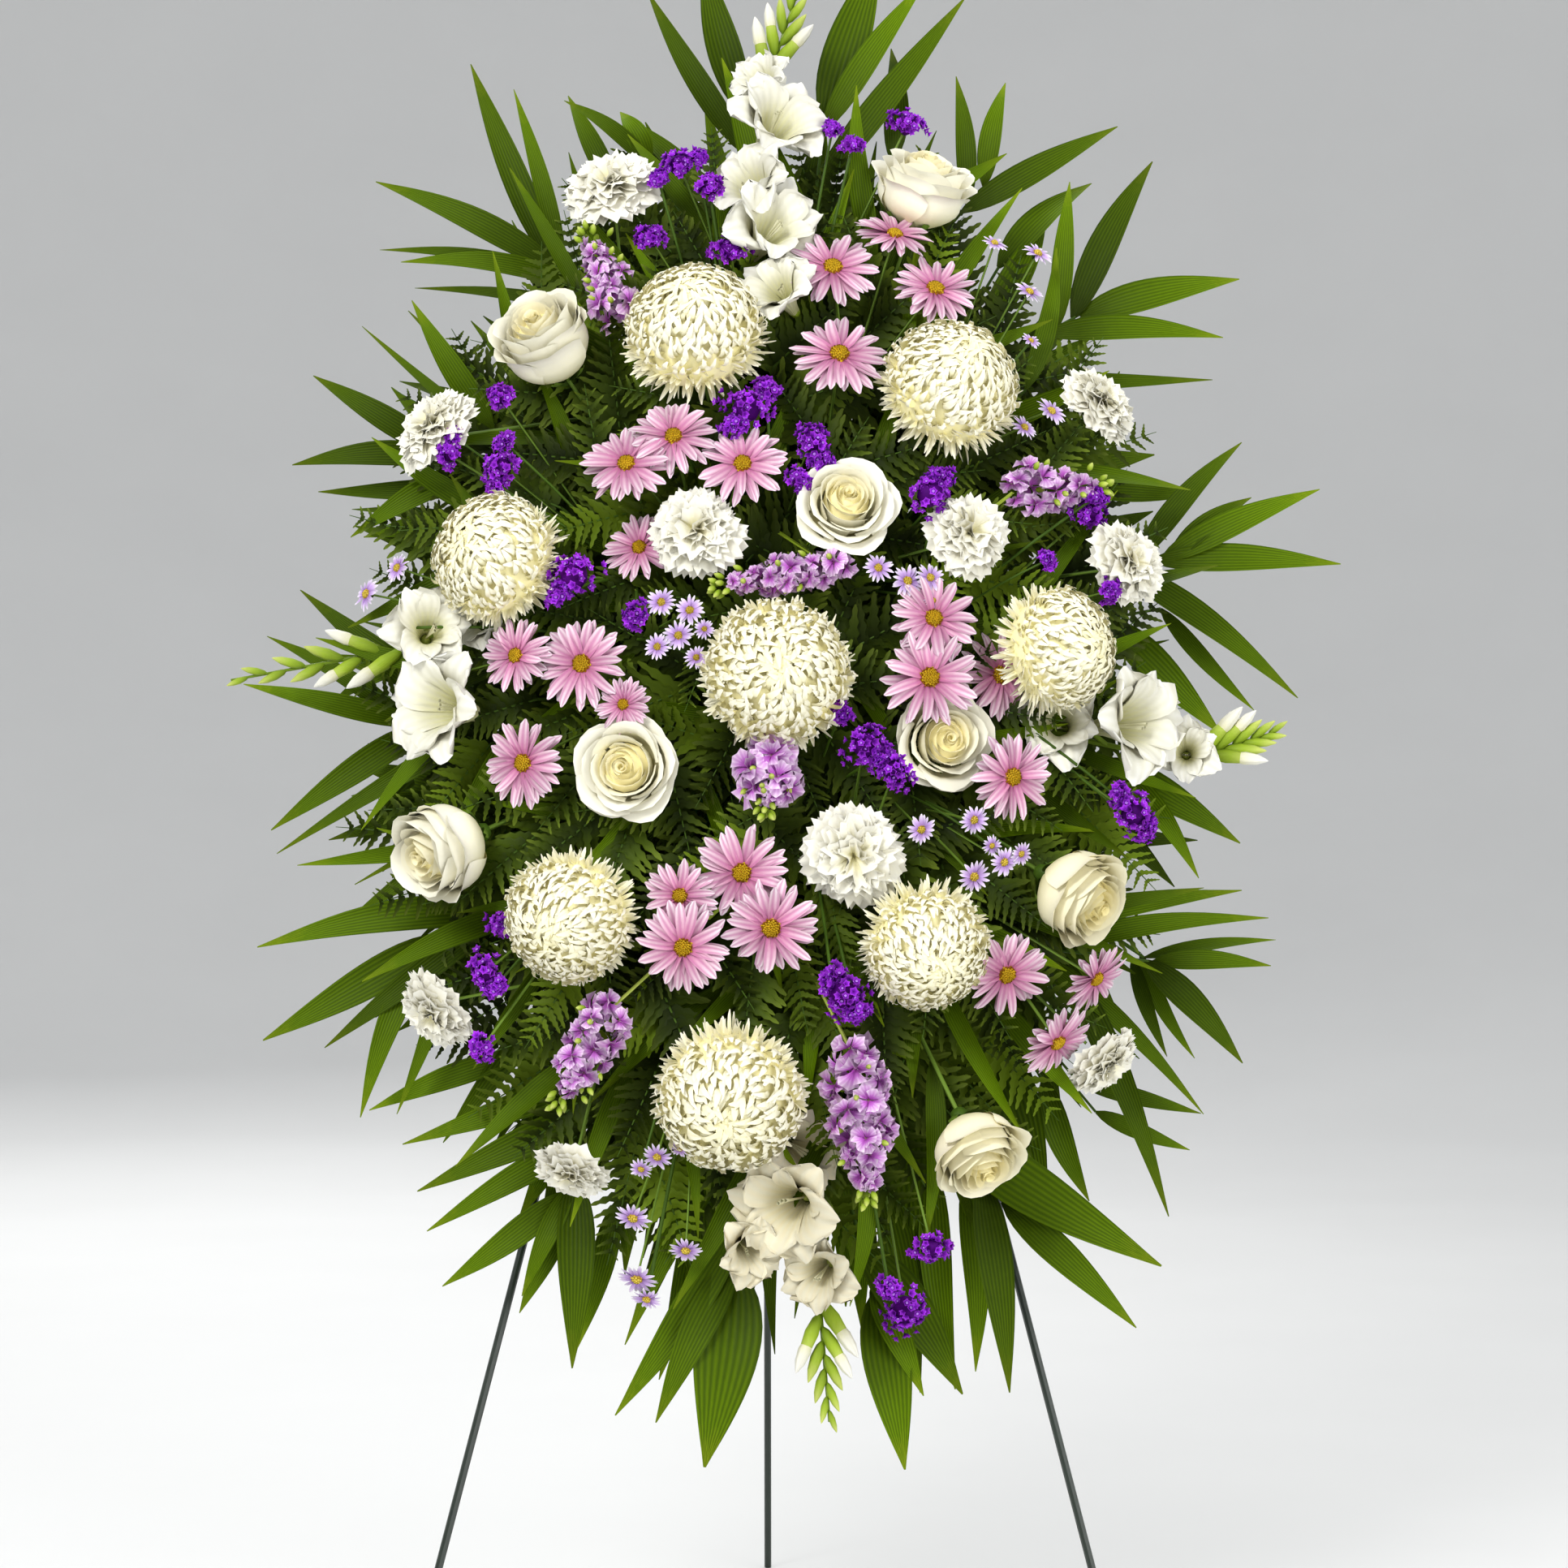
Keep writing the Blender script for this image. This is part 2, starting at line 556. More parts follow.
living(
    "mum_petal",
    ((0.0, 0.97, 0.88, 0.42), (0.35, 0.97, 0.91, 0.56), (0.65, 0.96, 0.92, 0.67), (1.0, 0.96, 0.93, 0.78)),
    0.96, 0.55, veins=1, bump=0.1, extra=(0.97, 0.89, 0.42), gloss=0.2,
)
living(
    "rose_petal",
    ((0.0, 0.95, 0.87, 0.38), (0.4, 0.97, 0.93, 0.66), (0.8, 0.97, 0.94, 0.80), (1.0, 0.95, 0.93, 0.80)),
    0.96, 0.52, veins=9, bump=0.05, extra=(0.97, 0.87, 0.46), gloss=0.18,
)
living(
    "carnation_petal",
    ((0.0, 0.82, 0.76, 0.40), (0.45, 0.88, 0.84, 0.58), (0.8, 0.91, 0.88, 0.73), (1.0, 0.91, 0.89, 0.79)),
    0.92, 0.60, veins=7, bump=0.10, gloss=0.10,
)
living(
    "gladiolus_petal",
    ((0.0, 0.56, 0.56, 0.18), (0.30, 0.76, 0.74, 0.44), (0.55, 0.83, 0.81, 0.67), (1.0, 0.88, 0.87, 0.81)),
    0.88, 0.50, veins=7, vein_colour=(0.72, 0.70, 0.56), vein_share=0.45, bump=0.35,
    extra=(0.72, 0.64, 0.42), gloss=0.2,
)
living(
    "daisy_petal",
    ((0.0, 0.47, 0.10, 0.23), (0.3, 0.67, 0.32, 0.46), (0.65, 0.83, 0.58, 0.68), (1.0, 0.95, 0.86, 0.90)),
    0.70, 0.60, veins=2, vein_colour=(0.50, 0.13, 0.32), vein_share=0.62, bump=0.35, gloss=0.15,
)
living(
    "aster_petal", ((0.0, 0.34, 0.16, 0.50), (0.45, 0.60, 0.40, 0.77), (1.0, 0.92, 0.86, 0.95)),
    0.75, 0.60, veins=3, bump=0.10, gloss=0.15,
)
living(
    "statice_calyx", ((0.0, 0.085, 0.002, 0.18), (0.5, 0.24, 0.010, 0.53), (1.0, 0.47, 0.055, 0.86)),
    0.55, 0.65, veins=5, bump=0.2, gloss=0.08,
)
living("statice_corolla", ((0.0, 0.44, 0.18, 0.74), (1.0, 0.66, 0.50, 0.88)), 0.8, 0.6, gloss=0.1)
living(
    "stock_petal",
    ((0.0, 0.42, 0.44, 0.08), (0.22, 0.40, 0.05, 0.42), (0.55, 0.64, 0.21, 0.70), (1.0, 0.94, 0.76, 0.94)),
    0.55, 0.60, veins=5, vein_colour=(0.42, 0.05, 0.46), vein_share=0.35, bump=0.20, gloss=0.15,
)
living(
    "ochre_disc", ((0.0, 0.28, 0.09, 0.004), (0.5, 0.56, 0.30, 0.008), (1.0, 0.70, 0.47, 0.02)),
    0.7, 0.7, gloss=0.15,
)
living("yellow_disc", ((0.0, 0.45, 0.28, 0.01), (1.0, 0.80, 0.62, 0.08)), 0.75, 0.7)
living(
    "green_bud", ((0.0, 0.15, 0.24, 0.01), (0.5, 0.32, 0.45, 0.03), (1.0, 0.60, 0.66, 0.17)),
    0.8, 0.50, veins=4, bump=0.15, gloss=0.15,
)
living("stem", ((0.0, 0.06, 0.12, 0.010), (1.0, 0.17, 0.28, 0.035)), 0.7, 0.5, gloss=0.15)
living(
    "palm_leaf",
    ((0.0, 0.050, 0.082, 0.001), (0.4, 0.096, 0.168, 0.001), (0.8, 0.142, 0.248, 0.002), (1.0, 0.27, 0.37, 0.010)),
    0.42, 0.50, veins=9, vein_colour=(0.028, 0.060, 0.001), vein_share=0.60, bump=0.35, gloss=0.06,
)
living(
    "collar_leaf", ((0.0, 0.026, 0.045, 0.001), (0.5, 0.060, 0.105, 0.001), (1.0, 0.120, 0.200, 0.002)),
    0.45, 0.50, veins=7, vein_colour=(0.016, 0.034, 0.001), vein_share=0.50, bump=0.35, gloss=0.06,
)
living(
    "fern_leaf", ((0.0, 0.022, 0.038, 0.002), (0.5, 0.068, 0.108, 0.006), (1.0, 0.180, 0.250, 0.024)),
    0.26, 0.55, veins=2, bump=0.15, extra=(0.20, 0.31, 0.012), gloss=0.08,
)
hard("easel_wire", (0.007, 0.013, 0.008), (0.020, 0.032, 0.022), 90, 0.34, bump=0.12)
hard("tray", (0.012, 0.060, 0.026), (0.022, 0.095, 0.042), 60, 0.42)
hard("foam", (0.030, 0.120, 0.034), (0.080, 0.230, 0.075), 700, 0.92, bump=0.6, distance=0.0012)
hard("backdrop_paper", (0.73, 0.73, 0.72), (0.77, 0.77, 0.76), 3, 0.85, bump=0.02)


# Flowers. Each looks along +Z about the origin, in units of its own radius.

MUM_PETALS = 780
MUM_SPAN = math.radians(126)
MUM_ROOT = 0.60
MUM_FLATNESS = 0.92


def cap_angles(count, span):
    """How far from +Z each of many petals stands, where they are spread evenly over a cap."""
    return np.arccos(1 - (np.arange(count) + 0.5)[:, None] / count * (1 - math.cos(span)))


def golden_turns(rnd, count, jitter):
    return np.arange(count)[:, None] * GOLDEN + rnd.uniform(-jitter, jitter, (count, 1))


def outwards(polar, turn):
    return stacked(np.sin(polar) * np.cos(turn), np.sin(polar) * np.sin(turn), np.cos(polar))


def sideways(turn):
    return stacked(-np.sin(turn), np.cos(turn), 0.0)


def mum_bloom(piece, matrix):
    """A football mum: broad strap petals that rise out of the ball and curl over at their tips, ragged at the rim."""
    rnd = piece.random
    each = (MUM_PETALS, 1)
    polar = cap_angles(MUM_PETALS, MUM_SPAN)
    rim = np.clip((polar / MUM_SPAN - 0.58) / 0.42, 0, 1)
    polar = polar + rnd.uniform(-0.04, 0.04, each)
    turn = golden_turns(rnd, MUM_PETALS, 0.08)
    u, v, faces = sheet(2, 6)
    length = rnd.uniform(0.92, 1.02, each) + rim * rnd.uniform(-0.08, 0.20, each) - MUM_ROOT
    bend = rnd.uniform(0.26, 0.42, each) * (1 - rim) - rim * rnd.uniform(-0.14, 0.20, each)
    curl = rnd.normal(0.15, 0.36, each) * (1 + rim)
    rising = MUM_ROOT + length * np.sin(math.pi / 2 * np.minimum(1, v * 1.2)) - 0.30 * np.maximum(0, v - 0.7) ** 1.5
    reach = np.where(rim > 0.3, MUM_ROOT + length * v**0.8, rising)
    crown = stacked(-np.cos(polar) * np.cos(turn), -np.cos(polar) * np.sin(turn), np.sin(polar))
    inward = crown * np.cos(curl)[..., None] + sideways(turn) * np.sin(curl)[..., None]
    edge = sideways(turn) * np.cos(curl)[..., None] - crown * np.sin(curl)[..., None]
    width = rnd.uniform(0.078, 0.102, each) * (1 - 0.32 * rim) * (0.62 + 0.38 * np.sin(math.pi * v))
    width = width * np.sqrt(np.clip(1 - (np.maximum(0, v - 0.72) / 0.30) ** 2, 0.02, 1))
    points = reach[..., None] * outwards(polar, turn) + (bend * v**2 + np.abs(u) * width * 0.38)[..., None] * inward
    points = points + (u * width / 2)[..., None] * edge
    points[..., 2] *= MUM_FLATNESS
    yellow = np.clip(1 - polar[:, 0] / 0.9, 0, 1) * 0.60
    piece.add(points, faces, 0, matrix, shades(u, v, rnd.rand(MUM_PETALS), yellow))
    core = [(0.02, -0.54), (0.45, -0.50), (0.68, -0.36)]
    core += [(0.85 * math.sin(angle) + 0.005, 0.79 * math.cos(angle)) for angle in np.linspace(1.9, 0.0, 9)]
    piece.turn(core, 20, 0, matrix, along=0.25, chance=1.0)


ROSE_ROWS = (
    # Petals, belly radius, top, half angle in degrees, opening, roll of the lip, and how far the top leans in
    (3, 0.17, 0.60, 84, 0.00, 0.05, 0.22),
    (3, 0.28, 0.62, 82, 0.00, 0.07, 0.22),
    (3, 0.40, 0.60, 80, 0.01, 0.10, 0.20),
    (4, 0.52, 0.55, 66, 0.02, 0.12, 0.16),
    (4, 0.64, 0.46, 64, 0.04, 0.13, 0.10),
    (5, 0.74, 0.33, 54, 0.08, 0.15, 0.02),
    (5, 0.78, 0.14, 50, 0.14, 0.16, 0.00),
)
ROSE_INNER_ROWS = 4
ROSE_FOOT = -0.86
ROSE_WARMTH = {"rose_5_bloom": 0.10, "rose_7_bloom": 0.34, "rose_8_bloom": 0.30}
ROSE_CLOSED = {"rose_1_bloom": 0.5, "rose_2_bloom": 1.0, "rose_6_bloom": 1.0, "rose_7_bloom": 0.8, "rose_8_bloom": 0.5}


def rose_bloom(piece, matrix):
    """A rose: a rolled heart in rows of cupped petals that open outwards, with rolled lips and a calyx."""
    rnd = piece.random
    tint = ROSE_WARMTH.get(piece.name, 0.0)
    closed = ROSE_CLOSED.get(piece.name, 0.0)
    matrix = matrix @ Matrix.Scale(1 + 0.24 * closed, 4)
    u, v, faces = sheet(8, 9)
    for row, (count, belly, top, half, opening, roll, lean) in enumerate(ROSE_ROWS):
        outer = row >= ROSE_INNER_ROWS
        each = (count, 1)
        top += 0.22 * closed * outer
        roll *= 1 - 0.35 * closed
        opening *= 1 - 0.7 * closed
        lean += 0.10 * closed * outer
        start = rnd.uniform(0, ROUND)
        turn = start + np.arange(count)[:, None] / count * 2 * math.pi + rnd.uniform(-0.12, 0.12, each)
        size = rnd.uniform(0.95, 1.05, each)
        lip = np.maximum(0, (v - 0.66) / 0.34) ** 2
        radial = 0.09 + (belly * size - 0.09) * np.sin(math.pi / 2 * np.minimum(v / 0.58, 1)) ** 0.75
        radial = radial - lean * belly * np.maximum(0, v - 0.5) ** 1.5 * 1.6
        radial = radial + opening * v**2 + roll * lip * (1 - 0.3 * u**2) * rnd.uniform(0.6, 1.4, each)
        radial = radial + 0.045 * u * np.minimum(1, v * 2)
        point = outer * (1 - np.abs(u)) ** 1.6 * v**5
        radial = radial * (1 - 0.13 * outer * np.abs(u) ** 2.5 * v) + 0.09 * point
        height = ROSE_FOOT + (top * size - ROSE_FOOT) * v - roll * 0.95 * lip - 0.24 * np.abs(u) ** 3 * v**2
        height = height + 0.07 * (1 - np.abs(u)) ** 1.5 * v**5 * (row > 2) - 0.10 * point
        phase = rnd.uniform(0, ROUND, each)
        radial = radial + 0.022 * np.sin(4 * u + phase) * v**3 + 0.03 * (u**2 - 0.5) * v
        angle = turn + u * math.radians(half) * (0.40 + 0.60 * np.sin(math.pi / 2 * np.minimum(1, v * 1.5)))
        warm = max(0.0, 0.50 - 0.12 * row) + tint
        piece.add(around(radial, angle, height), faces, 0, matrix, shades(u, v, rnd.rand(count), warm))
    u, v, faces = sheet(44, 5)
    sweep = (u + 1) / 2
    angle = sweep * 2 * ROUND
    radial = 0.03 + 0.10 * sweep + 0.04 * np.maximum(0, v - 0.8) * 5
    height = 0.20 + (0.40 + 0.03 * np.sin(angle * 0.5)) * v
    piece.add(around(radial, angle, height), faces, 0, matrix, shades(u, v, 0.9, 0.60 + tint)[0])
    piece.turn(((0.50, 0.10), (0.30, 0.34), (0.01, 0.42)), 12, 0, matrix, along=0.5, chance=0.9, extra=0.9)
    piece.turn(((0.05, -1.16), (0.15, -1.08), (0.19, -0.96), (0.16, -0.84)), 8, 1, matrix)
    wheel(piece, 1, matrix, 5, 0.14, 0.24, 0.0, -0.30, (2, 6), -0.90, 0.62)


def ruffled_petals(piece, matrix, count, span, base, fan, ruffle, grid, lobe=0.0):
    """Rows of fan petals with ruffled, fringed edges, as a carnation or a stock floret has."""
    rnd = piece.random
    each = (count, 1)
    u, v, faces = sheet(*grid)
    polar = cap_angles(count, math.radians(span))
    turn = golden_turns(rnd, count, 0.2)
    length = (0.88 + 0.16 * np.sin(polar)) * rnd.uniform(0.92, 1.06, each)
    if lobe:
        first, second = rnd.uniform(0, ANY_TURN, 2)
        length = length * (1 + lobe * np.sin(2 * turn + first) + lobe * 0.8 * np.sin(3 * turn + second))
    column = np.arange(len(u)) % (grid[0] + 1)
    fringe = 1 + 0.055 * np.where(column % 2, 1, -1) * (v > 0.99)
    fringe = fringe + rnd.uniform(-0.05, 0.05, (count, len(u))) * (v > 0.99)
    reach = length * v * fringe * (1 - 0.10 * u**2)
    side_angle = u * fan * v**0.6
    waves = np.sin(5.5 * u + rnd.uniform(0, ANY_TURN, each)) + 0.6 * np.sin(10 * u + rnd.uniform(0, ANY_TURN, each))
    theta = polar * (0.45 + 0.55 * v) + 0.15 * v**2 * np.sin(polar) + ruffle * v**1.5 * waves
    points = (reach * np.cos(side_angle))[..., None] * outwards(theta, turn)
    points = points + (reach * np.sin(side_angle))[..., None] * sideways(turn)
    points[..., 2] += base
    piece.add(points, faces, 0, matrix, shades(u, v, rnd.rand(count)))


def carnation_bloom(piece, matrix):
    """A carnation: two rows of ruffled petals over a calyx, the flatter the more it is turned away."""
    fronting = max(0.0, (matrix.to_3x3() @ Vector((0, 0, 1))).normalized().dot(TO_VIEWER))
    flat = 0.50 + 0.34 * fronting
    matrix = matrix @ Matrix.Translation((0, 0, -0.06)) @ Matrix.Diagonal((1.05, 1.05, flat, 1))
    ruffled_petals(piece, matrix, 40, 96, -0.42, 0.62, 0.115, (12, 6), lobe=0.07)
    ruffled_petals(piece, matrix @ Matrix.Scale(0.97, 4), 18, 60, -0.26, 0.55, 0.15, (10, 5))
    piece.turn(((0.05, -1.10), (0.14, -1.0), (0.19, -0.7), (0.22, -0.48), (0.30, -0.32)), 8, 1, matrix)


def bumps(piece, slot, matrix, count, radius, dome, base, size):
    """The florets of a disc: small knobs over a low dome."""
    knob, faces = lathe(((1.0, -0.5), (0.85, 0.5), (0.35, 1.0)), 5)
    share = (np.arange(count) + 0.5) / count
    places = around(np.sqrt(share) * radius, np.arange(count) * GOLDEN, base + dome * (1 - share))
    ring = np.where(np.abs(share - 0.80) < 0.14, 0.1, 0.85)[:, None]
    layer = layered((count, len(knob)), ring, chance=piece.random.rand(count)[:, None])
    piece.add(knob * np.array([size, size, size * 1.3]) + places[:, None], faces, slot, matrix, layer)
    cap = ((radius * 1.05, base - 0.04), (radius, base), (radius * 0.5, base + dome * 0.7), (0.01, base + dome))
    piece.turn(cap, 10, slot, matrix)


def wheel(piece, slot, matrix, count, inner, width, lift, droop, grid, low, size=1.0):
    """One wheel of a daisy's or aster's petals."""
    rnd = piece.random
    each = (count, 1)
    u, v, faces = sheet(*grid)
    turn = (np.arange(count)[:, None] + rnd.uniform(-0.22, 0.22, each)) / count * 2 * math.pi
    length = size * rnd.uniform(0.86, 1.06, each)
    rise = rnd.uniform(-0.6, 1.0, each) * lift
    wide = width * rnd.uniform(0.85, 1.12, each) * (0.42 + 0.58 * np.sin(math.pi * (0.12 + 0.80 * v)) ** 0.8)
    wide = np.where(v > 0.97, wide * 0.62, wide)
    radial = inner + (length - inner) * v - 0.045 * u**2 * (v > 0.97)
    height = low + rise * v - droop * v**2 + wide * 0.16 * np.abs(u)
    turn = turn + rnd.uniform(-0.10, 0.10, each) * v**2
    twist = rnd.uniform(-0.35, 0.35, each)
    aside = u * wide / 2
    points = stacked(
        radial * np.cos(turn) - aside * np.sin(turn), radial * np.sin(turn) + aside * np.cos(turn),
        height + aside * twist,
    )
    piece.add(points, faces, slot, matrix, shades(u, v, rnd.rand(count)))


def daisy_bloom(piece, matrix):
    wheel(piece, 0, matrix, 15, 0.14, 0.225, 0.16, 0.04, (4, 7), 0.03)
    wheel(piece, 0, matrix, 13, 0.14, 0.220, 0.10, 0.08, (4, 7), -0.03)
    bumps(piece, 2, matrix, 60, 0.20, 0.10, 0.05, 0.030)
    piece.turn(((0.05, -0.30), (0.18, -0.16), (0.26, -0.05), (0.28, 0.0)), 8, 1, matrix)


def aster_bloom(piece, matrix):
    wheel(piece, 0, matrix, 17, 0.18, 0.22, 0.14, 0.04, (2, 4), 0.03)
    bumps(piece, 2, matrix, 20, 0.26, 0.16, 0.05, 0.060)
    piece.turn(((0.06, -0.45), (0.24, -0.22), (0.30, 0.0)), 6, 1, matrix)


def gladiolus_flower(piece, matrix, cream):
    """A gladiolus bloom: two rows of broad ruffled tepals from a narrow throat, and three stamens."""
    rnd = piece.random
    each = (3, 1)
    u, v, faces = sheet(14, 9)
    for row, (size, low) in enumerate(((0.96, 0.02), (1.06, -0.06))):
        turn = (np.arange(3)[:, None] + 0.5 * row) / 3 * 2 * math.pi + rnd.uniform(-0.14, 0.14, each)
        length = size * rnd.uniform(0.90, 1.10, each)
        cup = rnd.uniform(0.02, 0.34, each)
        height = low - 1.05 + 1.35 * np.sin(math.pi / 2 * np.minimum(1, v * 1.15)) - cup * v**3
        phase = rnd.uniform(0, ANY_TURN, each)
        frill = np.sin(6 * u + 3 * v + phase) + 0.5 * np.sin(13 * u + phase * 2)
        radial = 0.12 + length * 0.92 * v**1.35 * (1 - 0.20 * u**2 * v + 0.045 * frill * v)
        height = height + 0.13 * frill * v**2 * (0.15 + np.abs(u)) + 0.10 * u**2 * v
        half = np.radians(66) * (0.60 + 0.40 * np.sin(math.pi * v**0.7))
        half = half * (1 - 0.55 * np.maximum(0, (v - 0.74) / 0.26) ** 2)
        piece.add(around(radial, turn + u * half, height), faces, 0, matrix, shades(u, v, rnd.rand(3), cream))
    for number in range(3):
        angle = number * 0.5 - 0.5
        tip = Vector((0.16 * math.cos(angle), 0.16 * math.sin(angle), 0.12))
        path = curved_path(Vector((0, 0, -0.8)), tip, ORIGIN, 3)
        piece.stem(path, (0.018, 0.016, 0.020, 0.036), 5, matrix, 0, along=0.40, chance=0.8)


FEWEST_FLORETS = 34
FLORETS_PER_METRE = 1400
FLORET_RADIUS = 0.0032
CUP_SIDES = 10


def statice_florets(piece, matrix, radius):
    """A head of papery trumpets in a few lobes, every second one with a pale speck."""
    rnd = piece.random
    number = np.arange(CUP_SIDES)
    odd = number % 2
    ring = around(np.where(odd, 0.70, 1.0), number / CUP_SIDES * 2 * math.pi, np.where(odd, 0.05, 0.30))
    cup = np.concatenate([ring, [[0, 0, -0.75]]])
    cup_faces = np.array([[index, (index + 1) % CUP_SIDES, CUP_SIDES] for index in range(CUP_SIDES)])
    star = np.concatenate([0.34 * ring[::2] * np.array([1, 1, 0]) + [0, 0, 0.02], [[0, 0, 0.16]]])
    star_faces = np.array([[index, (index + 1) % 5, 5] for index in range(5)])
    along = [1.0] * CUP_SIDES + [0.0]
    across = np.append(np.arange(CUP_SIDES) / CUP_SIDES, 0.5)
    count = int(FEWEST_FLORETS + radius * FLORETS_PER_METRE)
    size = FLORET_RADIUS / radius
    span = math.radians(104)
    first, second = rnd.uniform(0, ANY_TURN, 2)
    for number in range(count):
        polar = math.acos(1 - (number + 0.5) / count * (1 - math.cos(span)))
        turn = number * GOLDEN + rnd.uniform(-0.3, 0.3)
        look = Vector((math.sin(polar) * math.cos(turn), math.sin(polar) * math.sin(turn), math.cos(polar)))
        lobe = 0.20 * math.sin(2 * turn + first) + 0.16 * math.sin(3 * turn + 4 * polar + second)
        place = look * (rnd.uniform(0.62, 0.98) + lobe * math.sin(polar))
        place.z *= 0.80
        look = (look + Vector(rnd.uniform(-0.4, 0.4, 3))).normalized()
        floret = matrix @ placement(look, place, rnd.uniform(0, ANY_TURN), size * rnd.uniform(0.85, 1.2))
        piece.add(cup, cup_faces, 0, floret, layered((CUP_SIDES + 1,), along, across, rnd.rand()))
        if number % 2:
            piece.add(star, star_faces, 2, floret)
    piece.turn(((0.10, -0.45), (0.45, -0.20), (0.55, 0.10), (0.40, 0.42), (0.02, 0.55)), 8, 0, matrix)


FLORET_STEP = 0.0034
SIDE_BUDS = 8
TIP_BUDS = 9


def stock_spike(piece, foot, tip, radius):
    """A loose spike of ruffled florets round a stem, with green buds among them and at its end."""
    rnd = piece.random
    way = tip - foot
    axis = way.normalized()
    side = axis.orthogonal().normalized()
    count = max(16, int(way.length / FLORET_STEP))
    for number in range(count):
        share = (number + 0.5) / count
        turn = number * GOLDEN + rnd.uniform(-0.4, 0.4)
        aside = Quaternion(axis, turn) @ side
        taper = math.sin(math.pi * min(0.94, 0.16 + 0.84 * share)) ** 0.5
        look = (aside + axis * rnd.uniform(-0.1, 0.8) + TO_VIEWER * rnd.uniform(0.0, 0.6)).normalized()
        place = foot + way * min(1.0, max(0.0, share + rnd.uniform(-0.03, 0.03)))
        place = place + aside * radius * rnd.uniform(0.38, 0.90) * taper
        size = radius * rnd.uniform(0.46, 0.68) * (0.55 + 0.45 * taper)
        ruffled_petals(piece, placement(look, place, turn, size), 6, 88, -0.25, 0.66, 0.20, (5, 3))
    for number in range(SIDE_BUDS):
        aside = Quaternion(axis, piece.chance.uniform(0, ANY_TURN)) @ side
        look = (aside + axis * 0.6 + TO_VIEWER * 0.9).normalized()
        add_bud(piece, 1, look, foot + way * (0.08 + 0.11 * number) + look * radius * 0.80, 0.0080, 0.0023)
    for number in range(TIP_BUDS):
        aside = Quaternion(axis, number * GOLDEN) @ side
        place = tip + axis * (0.002 + 0.0012 * number) + aside * (0.0060 - 0.0006 * number)
        add_bud(piece, 1, (axis + aside * 0.7).normalized(), place, 0.0085, 0.0024)


BUD_PROFILE = ((0.10, 0.0), (0.70, 0.15), (1.0, 0.42), (0.80, 0.72), (0.30, 0.93), (0.03, 1.0))
BUD_SIDES = 7


def add_bud(piece, slot, look, place, length, radius):
    points, faces = lathe([(radius * wide, length * up) for wide, up in BUD_PROFILE], BUD_SIDES)
    across = np.arange(len(points)) % BUD_SIDES / BUD_SIDES
    layer = layered((len(points),), points[:, 2] / length, across, piece.chance.random())
    piece.add(points, faces, slot, placement(look, place), layer)


# Plants. What a node's fine piece keeps of the node is its stems, as they run.

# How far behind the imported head's seen surface its middle lies, in its radius
HEAD_OFFSET = {
    "mum": 0.73, "rose": 0.55, "daisy": 0.22, "carnation": 0.64, "gladiolus": -0.41, "statice": 0.66, "aster": 0.32,
}
SETTLE_STEP = 0.005
SETTLE_TRIES = (0, *range(-1, -15, -1), *range(1, 9))
SETTLED = 0.008
STEM_REACH = 0.14
LOOSE_BOW = 0.02


def tree_of(points, faces):
    return BVHTree.FromPolygons(points.tolist(), faces.tolist())


def settled(tree, kind, spec):
    """A head's middle, radius and look: along its pixel's ray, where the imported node's head lies."""
    pixel_x, pixel_y, pixel_radius, *more = spec
    point, distance = point_on_dome(pixel_x, pixel_y)
    hit = tree.ray_cast(LENS_IN_FRONT, (point - LENS_IN_FRONT).normalized()) if tree else (None,)
    if hit[0] is not None:
        wanted = hit[3] + HEAD_OFFSET[kind] * pixel_radius * distance / PHOTO_FOCAL

        def miss(step):
            lifted, _ = point_on_dome(pixel_x, pixel_y, step * SETTLE_STEP)
            return abs((lifted - LENS_IN_FRONT).length - wanted)

        if miss(0) > SETTLED:
            best = min(SETTLE_TRIES, key=miss)
            point, distance = point_on_dome(pixel_x, pixel_y, best * SETTLE_STEP)
    return point, pixel_radius * distance / PHOTO_FOCAL, facing(point, more[0] if more else DEFAULT_TURN)


def keep_stems(piece, points, faces, balls, rods=()):
    """Takes over the node's faces that are stems: those that lie behind its heads and not within one."""
    inside = np.zeros(len(points), bool)
    for middle, radius, look in balls:
        gap = points - np.array(middle)
        away = np.linalg.norm(gap, axis=1)
        inside |= (away < radius) | ((away < 1.5 * radius) & (gap @ np.array(look) > -0.4 * radius))
    for start, end, radius in rods:
        start = np.array(start)
        way = np.array(end) - start
        share = np.clip((points - start) @ way / (way @ way), 0, 1)
        inside |= np.linalg.norm(points - start - share[:, None] * way, axis=1) < radius
    kept = faces[~inside[faces].all(1)]
    if len(kept):
        along = np.clip(np.linalg.norm(points - np.array(FOAM_MIDDLE), axis=1) / 0.4, 0, 1)
        layer = layered((len(points),), along, chance=piece.chance.uniform(0.3, 1))
        used, renumbered = np.unique(kept, return_inverse=True)
        piece.add(points[used], renumbered.reshape(kept.shape), 1, None, layer[used])


